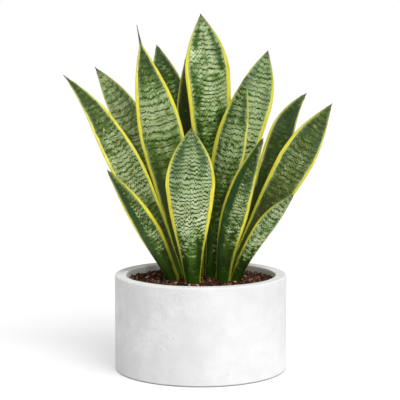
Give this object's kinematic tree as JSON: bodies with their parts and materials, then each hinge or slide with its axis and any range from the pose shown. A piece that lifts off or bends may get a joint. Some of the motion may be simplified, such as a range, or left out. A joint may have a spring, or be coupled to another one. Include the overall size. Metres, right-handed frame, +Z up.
{
  "type": "potted snake plant",
  "caption": "Variegated snake plant with yellow-edged, cross-banded sword leaves rising as a rosette from potting mix in a plain straight-sided round cement pot",
  "frame": {"origin": "centre of the pot's flat underside, on the pot's axis, where it stands on a surface", "axes": "+Z up along the pot's axis; -Y is the front of the plant, the side of its broad short front leaf; +X is to the right seen from the front"},
  "size_m": [0.3054, 0.2123, 0.413],
  "materials": {
    "pot_cement": "matte cast cement with faint mottling",
    "potting_mix": "crumbly bark and peat mix",
    "rhizome": "matte fleshy root",
    "leaf": "satin waxy leaf, cross-banded green with yellow margins"
  },
  "bodies": {
    "root": {"pot": "pot_cement", "potting_mix": "potting_mix", "rhizome": "rhizome", "leaf_front": "leaf", "leaf_tall_centre": "leaf", "leaf_tall_left": "leaf", "leaf_far_left": "leaf", "leaf_low_left": "leaf", "leaf_back_left": "leaf", "leaf_back": "leaf", "leaf_back_narrow": "leaf", "leaf_tall_right": "leaf", "leaf_centre_right": "leaf", "leaf_front_right": "leaf", "leaf_back_right": "leaf", "leaf_far_right": "leaf", "leaf_low_right": "leaf"}
  },
  "joints": []
}
